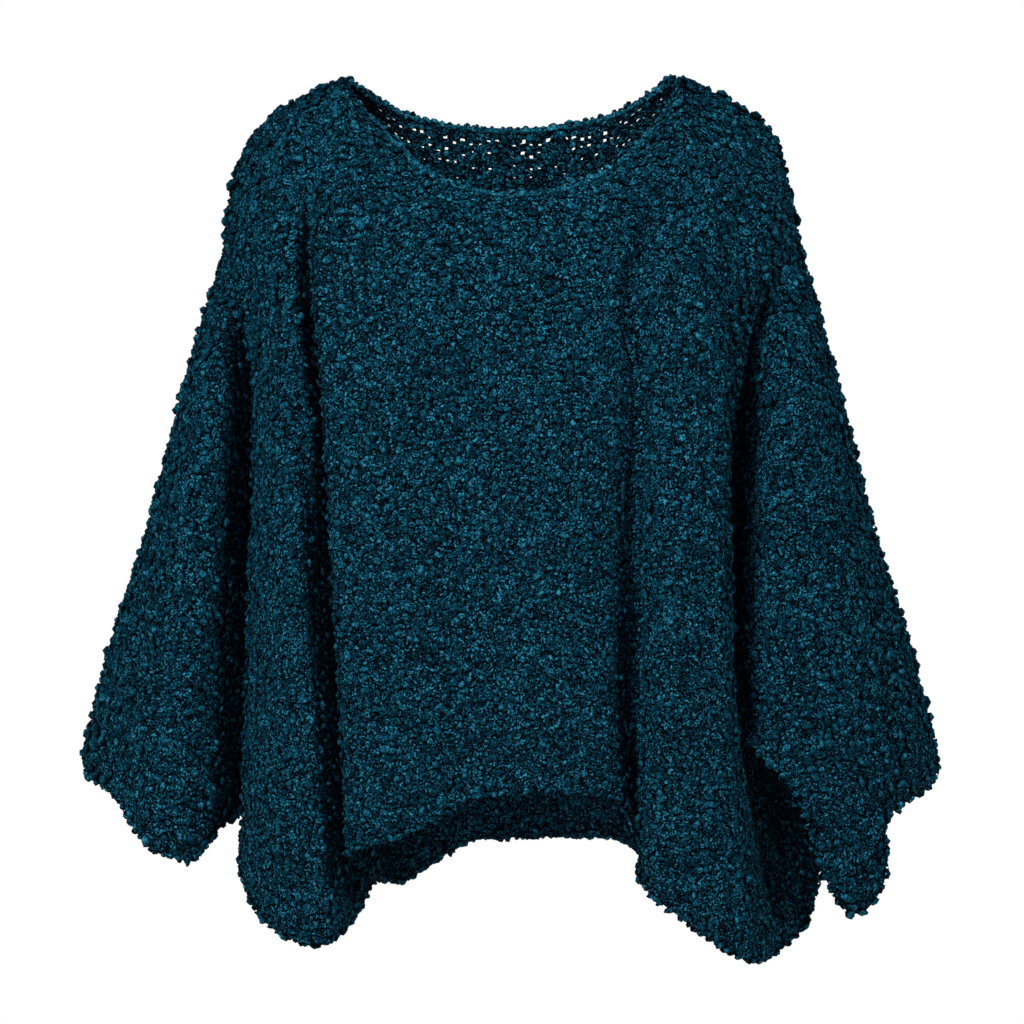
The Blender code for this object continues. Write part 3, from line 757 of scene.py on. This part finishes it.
YARNS = {  # colours, loop, drawn, speckle, relief
    "looped_yarn_bobbles": (TEAL, BRIGHT, 0.0044, 0.4, 0.4, 0.6),
    "looped_yarn_ground": (TEAL, BRIGHT, 0.0052, 1.0, 0.7, 1.0),
    # The wrong side's yarn is a lighter copy of the bobbles' one: painted light on the inside.
    "looped_yarn_wrong_side_painted_light": (linear("086C8C"), linear("56C8E6"), 0.0044, 0.4, 0.4, 0.6),
    # The rolled edge's yarn is lighter still: a painted highlight on the roll.
    "looped_yarn_edge_painted_highlight": (linear("0C708E"), linear("62C6E2"), 0.0040, 0.3, 0.5, 0.5),
}
bobble_yarn, ground_yarn, painted_light_inner_yarn, painted_highlight_edge_yarn = (yarn(name, *looks) for name, looks in YARNS.items())
print("yarns:", ", ".join(YARNS))

# %% [markdown]
# ## Cloth
#
# Each piece is a thin shell that stands a little inside the frame's outer face, so the bobbles'
# tips reach that face. Under the back neck and at the shoulders the knit is open enough to see
# through. There the grid has small six-sided holes, and the shell's wall is closed round them.

# %% Cloth
chance = np.random.default_rng(11)
BASE_DEPTH = 1.4  # mm from the frame's outer face to the cloth under the bobbles
CLOTH = 2.8  # mm, its thickness
SEAM_GAP = 0.3
FINE_TOP = 16  # rows near the neck that are all kept
ROW_STEP = 3  # below them one in three is
HOLE_SHARES = (0.42, 0.66, 0.5, 0.54, 0.6, 0.42)  # of the way from a hole's middle to its corners
HOLE_SIZES = (0.7, 1.2)  # by chance between these
FRONT_HOLE, BACK_HOLE, SMALLEST_HOLE = 0.6, 1.06, 0.45  # and times these
SMALLER = 0.06  # for each row down the back, where the knit is less stretched


def new_piece(name, points, faces, shade, tip, material):
    """A smooth piece from points in millimetres, with the two numbers that the yarn reads."""
    mesh = bpy.data.meshes.new(name)
    mesh.from_pydata((points * MM).tolist(), [], faces.tolist())
    mesh.shade_smooth()
    for value_name, numbers in (("shade", shade), ("tip", tip)):
        values = np.full(len(points), numbers, float)
        mesh.attributes.new(value_name, "FLOAT", "POINT").data.foreach_set("value", values)
    mesh.materials.append(material)
    piece = bpy.data.objects.new(name, mesh)
    scene.collection.objects.link(piece)
    print(name, "has", len(mesh.polygons), "faces")
    return piece


def cloth(name, holes):
    """The thin shell of one piece, with a small hole in each of the given places of two rows."""
    grid, closed, flip = grids[name]
    keep = list(range(len(grid)))
    if not closed:
        keep = keep[:FINE_TOP] + keep[FINE_TOP:-1:ROW_STEP] + keep[-1:]
    outer = (grid - normals[name] * BASE_DEPTH)[keep]
    outer[0] += SEAM_GAP / 2 * unit(outer[1] - outer[0])
    if not closed:
        outer[:, 0] += SEAM_GAP / 2 * unit(outer[:, 1] - outer[:, 0])
        outer[:, -1] += SEAM_GAP / 2 * unit(outer[:, -2] - outer[:, -1])
    rows, columns = outer.shape[:2]
    sides = np.stack([outer, outer - normals[name][keep] * CLOTH]).reshape(2, -1, 3)
    quads = quads_of(rows, columns, closed, flip)
    across = columns if closed else columns - 1
    left_out = {(row + step, column) for row, column in holes for step in (0, 1)}
    quads = quads[[divmod(i, across) not in left_out for i in range(len(quads))]]
    for row, column in holes:
        left = (row + np.arange(3)) * columns + column
        mouth = np.concatenate([left, left[::-1] + 1])
        rim = sides.shape[1] + np.arange(len(mouth))
        size = max(BACK_HOLE - SMALLER * row, SMALLEST_HOLE) if name == "back" else FRONT_HOLE
        shares = np.roll(HOLE_SHARES, column)[:, None] * chance.uniform(*HOLE_SIZES) * size
        weights = chance.uniform(0.6, 1.4, (len(mouth), 1))
        middle = (sides[:, mouth] * weights).sum(axis=1, keepdims=True) / weights.sum()
        sides = np.concatenate([sides, middle + (sides[:, mouth] - middle) * shares], axis=1)
        band = np.stack([mouth, np.roll(mouth, -1), np.roll(rim, -1), rim], axis=1)
        quads = np.vstack([quads, band[:, ::-1] if flip else band])
    edges = [tuple(edge) for k in range(4) for edge in quads[:, [k, (k + 1) % 4]].tolist()]
    known, count = set(edges), sides.shape[1]
    a, b = np.array([edge for edge in edges if edge[::-1] not in known]).T
    walls = np.stack([b, a, a + count, b + count], axis=1)
    faces = np.vstack([quads, quads[:, ::-1] + count, walls])
    used, index = np.unique(faces, return_inverse=True)
    return new_piece(
        name + "_cloth", sides.reshape(-1, 3)[used], index.reshape(faces.shape), 0.5, 0.8, ground_yarn)


# %% Where the knit is open
HOLE_ROWS = {1: 1.0, 4: 0.75, 7: 0.5, 10: 0.25, 13: 0.1}  # row: share of its holes that are open
HOLE_PITCH = 8.4  # mm


def neck_columns(face):
    """The columns of a panel's grid where its neckline starts and ends."""
    return tuple(sum(quads_across(face)[:end]) for end in neck_end_indexes(face))


def open_meshes(name):
    """Places of holes in rows below the back neck, at an even pitch with some missing."""
    grid = grids[name][0]
    first, last = neck_columns(name)
    holes = set()
    for number, (row, share) in enumerate(HOLE_ROWS.items()):
        along = lengths_along(grid[row, first:last + 1])
        at = HOLE_PITCH * (0.3 + 0.5 * (number % 2))
        while at < along[-1] - 2:
            column = first + int(np.searchsorted(along, at))
            if chance.random() < share:
                holes.add((row + int(chance.integers(2)), column))
            at += HOLE_PITCH * chance.uniform(0.9, 1.2)
    return holes


SHOULDER_HOLES = {  # panel: row and share of the width from the left of its meshes near a shoulder
    "front": ((3, 0.135), (6, 0.16), (9, 0.12), (4, 0.865), (8, 0.84), (11, 0.875)),
    "back": ((14, 0.15), (13, 0.85)),
}
holes = {"front": set(), "back": open_meshes("back"), "sleeve_left": set(), "sleeve_right": set()}
for name, places in SHOULDER_HOLES.items():
    holes[name] |= {(row, int(share * grids[name][0].shape[1])) for row, share in places}
cloths = {name: cloth(name, holes[name]) for name in grids}

# %% [markdown]
# ## The yarn's loops
#
# Looped yarn throws small rings, open curls and knots to the cloth's right side, about 5 mm
# across. A ring starts as a torus of few segments whose lowest line of corners is deleted, as it
# stands on the cloth. A curl is the same ring with a part left out, and a knot is an icosphere
# of twenty faces without its lowest corner. Each is used thousands of times, so each keeps 12
# to 28 faces, and the yarn's own relief does the rest.

# %% Ring, curl and knot
def taken_off(shape, unwanted):
    """Deletes the corners of a mesh for which unwanted holds, and returns its points and triangles."""
    bpy.ops.object.mode_set(mode="EDIT")
    bpy.ops.mesh.select_mode(type="VERT")
    bpy.ops.mesh.select_all(action="DESELECT")
    bpy.ops.object.mode_set(mode="OBJECT")
    for corner in shape.data.vertices:
        corner.select = bool(unwanted(corner.co))
    bpy.ops.object.mode_set(mode="EDIT")
    bpy.ops.mesh.delete(type="VERT")
    bpy.ops.mesh.select_all(action="SELECT")
    bpy.ops.mesh.quads_convert_to_tris()
    bpy.ops.object.mode_set(mode="OBJECT")
    points = np.array([corner.co for corner in shape.data.vertices])
    triangles = np.array([face.vertices[:] for face in shape.data.polygons])
    bpy.data.objects.remove(shape, do_unlink=True)
    points[:, 2] -= points[:, 2].min()
    return points, triangles


def model_ring(gap):
    """A ring 1 across, or a curl whose gap is that share of a turn."""
    bpy.ops.object.select_all(action="DESELECT")
    bpy.ops.mesh.primitive_torus_add(
        major_segments=7, minor_segments=4, major_radius=0.28, minor_radius=0.22)
    bpy.ops.transform.resize(value=(1.0, 1.0, 1.5))
    bpy.ops.object.transform_apply(location=False, rotation=False, scale=True)
    opening = np.pi * gap
    return taken_off(bpy.context.object, lambda co: co.z < -0.1 or abs(np.arctan2(co.y, co.x)) < opening)


def model_knot():
    """A knot 1 across."""
    bpy.ops.object.select_all(action="DESELECT")
    bpy.ops.mesh.primitive_ico_sphere_add(subdivisions=1, radius=0.5)
    return taken_off(bpy.context.object, lambda co: co.z < -0.49)


loops = [model_ring(0.0), model_ring(0.3), model_knot()]
LOOP_SHARES = (0.28, 0.46, 0.26)  # how often each of them comes
print("faces of a ring, a curl and a knot:", [len(triangles) for _, triangles in loops])

# %% [markdown]
# ## Rows of bobbles
#
# The knitter makes the bobbles in wales, one above the other, and each sits a little off its
# place. Columns are laid at an even pitch round the body, bobbles at an even step down each of
# them, and one that would crowd another already there is left out, as at the shoulders where the
# columns run together.

# %% Places for bobbles
PITCH_ACROSS = 5.5  # mm
PITCH_DOWN = 5.3
CROWDING = 4.0  # nearest that two bobbles may stand, in the middle of the front
HOLE_ROOM = 3.7  # and that one may stand to the middle of a hole
CELL = 5.5  # side of the cubes that sort the bobbles by place
OFF_PLACE = 0.9
SLEEVE_GROWTH, SHOULDER_GROWTH = 1.2, 0.22
GROWS_FROM, GROWS_OVER = -330.0, 200.0


def sample(grid, rows, columns):
    """The grid between its points, at fractional row and column numbers."""
    r = np.clip(rows.astype(int), 0, grid.shape[0] - 2)
    c = np.clip(columns.astype(int), 0, grid.shape[1] - 2)
    u, v = (rows - r)[:, None], (columns - c)[:, None]
    top = grid[r, c] * (1 - v) + grid[r, c + 1] * v
    return top * (1 - u) + (grid[r + 1, c] * (1 - v) + grid[r + 1, c + 1] * v) * u


def closed_round(name):
    """A piece's grid and directions, with the first column repeated at the end of a sleeve's."""
    again = slice(0, int(grids[name][1]))
    return [np.concatenate([part, part[:, again]], axis=1) for part in (grids[name][0], normals[name])]


def wales(name, level):
    """Fractional rows and columns of the bobbles of one piece, with the columns spaced at a level."""
    grid, _ = closed_round(name)
    across = lengths_along(grid[level])
    count = int(round(across[-1] / PITCH_ACROSS))
    columns = np.interp((np.arange(count) + 0.5) * across[-1] / count, across, np.arange(len(across)))
    every = np.arange(len(grid), dtype=float)
    places = []
    for number, column in enumerate(columns):
        down = lengths_along(sample(grid, every, np.full(len(every), column)))
        at = np.arange(PITCH_DOWN * (0.25 + 0.5 * (number % 2)), down[-1], PITCH_DOWN)
        places.append([np.interp(at, down, every), np.full(len(at), column)])
    return np.concatenate(places, axis=1)


def set_on(name, rows, columns, depth):
    """Places at a depth under the frame's face, and the directions outwards there."""
    grid, direction = closed_round(name)
    outwards = unit(sample(direction, rows, columns))
    return sample(grid, rows, columns) - outwards * depth, outwards


def hole_middles(depth):
    """The middles of the holes at a depth, sorted by place, so that no bobble is set over them."""
    taken = {}
    for name in ("front", "back"):
        for row, column in holes[name]:
            middle = grids[name][0][row:row + 3, column:column + 2].mean(axis=(0, 1))
            middle -= normals[name][row, column] * depth
            taken.setdefault(tuple(np.floor(middle / CELL).astype(int)), []).append((*middle, HOLE_ROOM))
    return taken


def growth(name, points):
    """How much larger the loops are than in the middle of the front, as the knit hangs open there."""
    if name.startswith("sleeve"):
        return np.full(len(points), SLEEVE_GROWTH)
    return 1 + SHOULDER_GROWTH * np.clip((points[:, 2] - GROWS_FROM) / GROWS_OVER, 0, 1)


def spread_out(points, rooms, taken):
    """Which points keep their distance, given for each, from all taken ones and from each other."""
    kept = np.zeros(len(points), bool)
    cells = np.floor(points / CELL).astype(int)
    steps = [(i, j, k) for i in (-1, 0, 1) for j in (-1, 0, 1) for k in (-1, 0, 1)]
    for i, (place, room, (a, b, c)) in enumerate(zip(points.tolist(), rooms.tolist(), cells.tolist())):
        x, y, z = place
        near = (other for da, db, dc in steps for other in taken.get((a + da, b + db, c + dc), ()))
        kept[i] = all((x - p) ** 2 + (y - q) ** 2 + (z - r) ** 2 >= min(room, least) ** 2
                      for p, q, r, least in near)
        if kept[i]:
            taken.setdefault((a, b, c), []).append((x, y, z, room))
    return kept


# %% [markdown]
# ## Knitting them on
#
# Every bobble is a copy of one of the three shapes, turned at random about the cloth's
# direction, a little longer one way, and set on the cloth. Those of one area are one mesh.

# %% Bobbles as one mesh
SIZE = 6.2  # mm across
SIZE_SPREAD = 0.16
STRETCHES = ((0.9, 1.65), (0.65, 0.95), (0.8, 1.1))  # limits of its length, width and height
LEAN = 0.22
SINK = 0.8  # mm of a bobble's root that is inside the cloth


def bobbles(name, roots, outwards, grown, seed, material):
    """One mesh of rings, curls and knots at the roots, each along its own outward direction and
    grown by its own factor."""
    luck = np.random.default_rng(seed)
    kinds = luck.choice(len(loops), len(roots), p=LOOP_SHARES)
    made, start = [], 0
    for kind, (shape, triangles) in enumerate(loops):
        root, out = roots[kinds == kind], outwards[kinds == kind]
        count, each = len(root), len(shape)
        turn = luck.uniform(0, 2 * np.pi, count)[:, None]
        helper = np.where(np.abs(out[:, 2:3]) < 0.8, [[0.0, 0.0, 1.0]], [[0.0, 1.0, 0.0]])
        side = unit(np.cross(out, helper))
        along = side * np.cos(turn) + np.cross(out, side) * np.sin(turn)
        lean = unit(out + luck.normal(0, LEAN, (count, 3)))
        along = unit(along - lean * (along * lean).sum(axis=1)[:, None])
        size = SIZE * grown[kinds == kind] * np.clip(luck.normal(1, SIZE_SPREAD, count), 0.6, 1.45)
        stretch = np.stack([size * luck.uniform(*limits, count) for limits in STRETCHES], axis=1)
        axes = np.stack([along, np.cross(lean, along), lean], axis=1) * stretch[:, :, None]
        points = (root - out * SINK)[:, None] + np.einsum("pk,nkx->npx", shape, axes)
        numbers = triangles[None] + start + np.arange(count)[:, None, None] * each
        shades = np.repeat(luck.uniform(0.0, 1.0, count), each)
        # Each point's height over its root, from which the yarn paints shade near the root.
        tips = np.tile(shape[:, 2] / shape[:, 2].max(), count)
        made.append((points.reshape(-1, 3), numbers.reshape(-1, 3), shades, tips))
        start += count * each
    return new_piece(name, *(np.concatenate(parts) for parts in zip(*made)), material)


# %% Bobbles on the outside
BODY_LEVEL, SLEEVE_LEVEL = ARMHOLE_ROWS + 24, 24  # rows on which the wales stand evenly
LEVELS = dict(front=BODY_LEVEL, back=BODY_LEVEL, sleeve_left=SLEEVE_LEVEL, sleeve_right=SLEEVE_LEVEL)
luck = np.random.default_rng(5)
taken = hole_middles(BASE_DEPTH)
worn, spots = [], {}
for name, level in LEVELS.items():
    roots, outwards = set_on(name, *wales(name, level), BASE_DEPTH)
    push = luck.normal(0, OFF_PLACE, roots.shape)
    roots += push - outwards * (push * outwards).sum(axis=1)[:, None]
    grown = growth(name, roots)
    keep = spread_out(roots, CROWDING * grown, taken)
    spots[name] = roots[keep], outwards[keep], grown[keep]
    print(name, "places:", len(roots), "kept:", int(keep.sum()))

for seed, (name, spot) in enumerate(spots.items(), 20):
    halves = {"": np.full(len(spot[0]), True)}
    if name in ("front", "back"):
        halves = {"_left": spot[0][:, 0] < 0, "_right": spot[0][:, 0] >= 0}
    for half, which in halves.items():
        here = (part[which] for part in spot)
        worn.append((name, bobbles(f"{name}_bobbles{half}", *here, seed, bobble_yarn)))

# %% [markdown]
# ## Inside, and along the edges
#
# The cloth's inside shows at the neck, below the front hem and in the cuffs, and loops come
# through there too. They are set in a band behind each opening. A hem and a cuff end in three
# regular rows of loops that stand round the cut edge, which gives the nubbed outline.

# %% Bobbles on the inside and on the edges
# piece: rows from the top, rows from the bottom that get bobbles
INSIDE = {"front": (14, 20), "back": (32, 36), "sleeve_left": (0, 12), "sleeve_right": (0, 12)}
EDGE_STEP = 4.8  # mm between the loops of an edge
EDGE_ROWS = ((0.55, 1.6), (1.75, 1.6), (2.75, 1.9))  # radians round the edge, mm from its core
EDGE_CORE = 1.6  # mm above the cut edge

taken = hole_middles(BASE_DEPTH + CLOTH)
for seed, (name, (top_rows, bottom_rows)) in enumerate(INSIDE.items(), 40):
    grid, direction = closed_round(name)
    rows, columns = wales(name, LEVELS[name])
    near = (rows < top_rows) | (rows > len(grid) - 1 - bottom_rows)
    roots, outwards = set_on(name, rows[near], columns[near], BASE_DEPTH + CLOTH)
    roots += luck.normal(0, OFF_PLACE * 0.7, roots.shape)
    keep = spread_out(roots, np.full(len(roots), CROWDING), taken)
    roots, facings = [roots[keep]], [-outwards[keep]]
    last, out = grid[-1], direction[-1]
    down = unit(last - grid[-4])
    along = lengths_along(last)
    for turn, far in EDGE_ROWS:
        at = np.arange(EDGE_STEP * luck.uniform(0.2, 0.8), along[-1], EDGE_STEP)
        number = np.round(np.interp(at, along, np.arange(len(along)))).astype(int)
        facing = unit(out * np.cos(turn) + down * np.sin(turn))[number]
        core = (last - out * (BASE_DEPTH + CLOTH / 2) - down * EDGE_CORE)[number]
        roots.append(core + facing * far)
        facings.append(facing)
    roots, facings = np.vstack(roots), np.vstack(facings)
    # These loops use the lighter copy of the yarn, with painted light in its colour.
    inside = bobbles(name + "_bobbles_inside", roots, facings, np.ones(len(roots)), seed, painted_light_inner_yarn)
    worn.append((name, inside))

# %% [markdown]
# ## Neck edge
#
# The neckline ends in a rolled edge that shows as a slightly lighter row of stitches. That
# lightness is a painted highlight, given by a lighter copy of the yarn. It is a round tube along
# the neckline with three regular rows of small bobbles on it.

# %% Neck edge
TUBE_SIDES = 10
TUBE_HIGH, TUBE_WIDE = 5.0, 4.6
TUBE_UP = 2.6  # mm from the neckline to its middle
NECK_PITCH = 5.6
NECK_ROWS = (-0.15, 0.95, 2.1)  # turns from outwards to upwards, in radians
ROW_FAR = 0.36  # of the tube's height from its middle

first, last = neck_columns("front")
start, end = neck_columns("back")
ring, ring_out = (
    np.vstack([of_front[0, first:last], of_back[0, end:start:-1]])
    for of_front, of_back in ((front_grid, back_grid), (normals["front"], normals["back"])))
ring_up = unit(np.cross(ring_out, unit(np.roll(ring, -1, axis=0) - np.roll(ring, 1, axis=0))))
middle = ring - ring_out * (BASE_DEPTH + CLOTH / 2) + ring_up * TUBE_UP
angles = 2 * np.pi * np.arange(TUBE_SIDES)[:, None] / TUBE_SIDES
tube = (middle[:, None] + ring_out[:, None] * (np.cos(angles) * TUBE_WIDE / 2)
        + ring_up[:, None] * (np.sin(angles) * TUBE_HIGH / 2)).reshape(-1, 3)
faces = quads_of(len(ring) + 1, TUBE_SIDES, True, False) % len(tube)
neck_roll = new_piece("neck_edge_roll", tube, faces, 0.3, 0.9, painted_highlight_edge_yarn)

steps = lengths_along(np.vstack([ring, ring[:1]]))
at = np.arange(0, steps[-1], NECK_PITCH)
number = np.interp(at, steps, np.arange(len(steps))).astype(int) % len(ring)
facings = [unit(ring_out * np.cos(turn) + ring_up * np.sin(turn))[number] for turn in NECK_ROWS]
roots = np.vstack([middle[number] + facing * TUBE_HIGH * ROW_FAR for facing in facings])
neck_bobbles = bobbles("neck_edge_bobbles", roots, np.vstack(facings), np.ones(len(roots)), 77, painted_highlight_edge_yarn)
print("neck edge:", round(steps[-1] / 10, 1), "cm round")

# %% [markdown]
# ## What stands for what
#
# Each cloth stands for its solid in the frame, which is hidden, and is attached to the frame's
# body. The bobbles go with their cloth.

# %% Hand over
for name, piece in cloths.items():
    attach(piece, "root")
    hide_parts(name)
for _, piece in worn:
    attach(piece, "root")
for piece in (neck_roll, neck_bobbles):
    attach(piece, "root")
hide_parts("neck_edge")

faces = [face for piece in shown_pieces() if "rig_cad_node" not in piece for face in piece.data.polygons]
print("triangles of the looks:", sum(len(face.vertices) - 2 for face in faces))
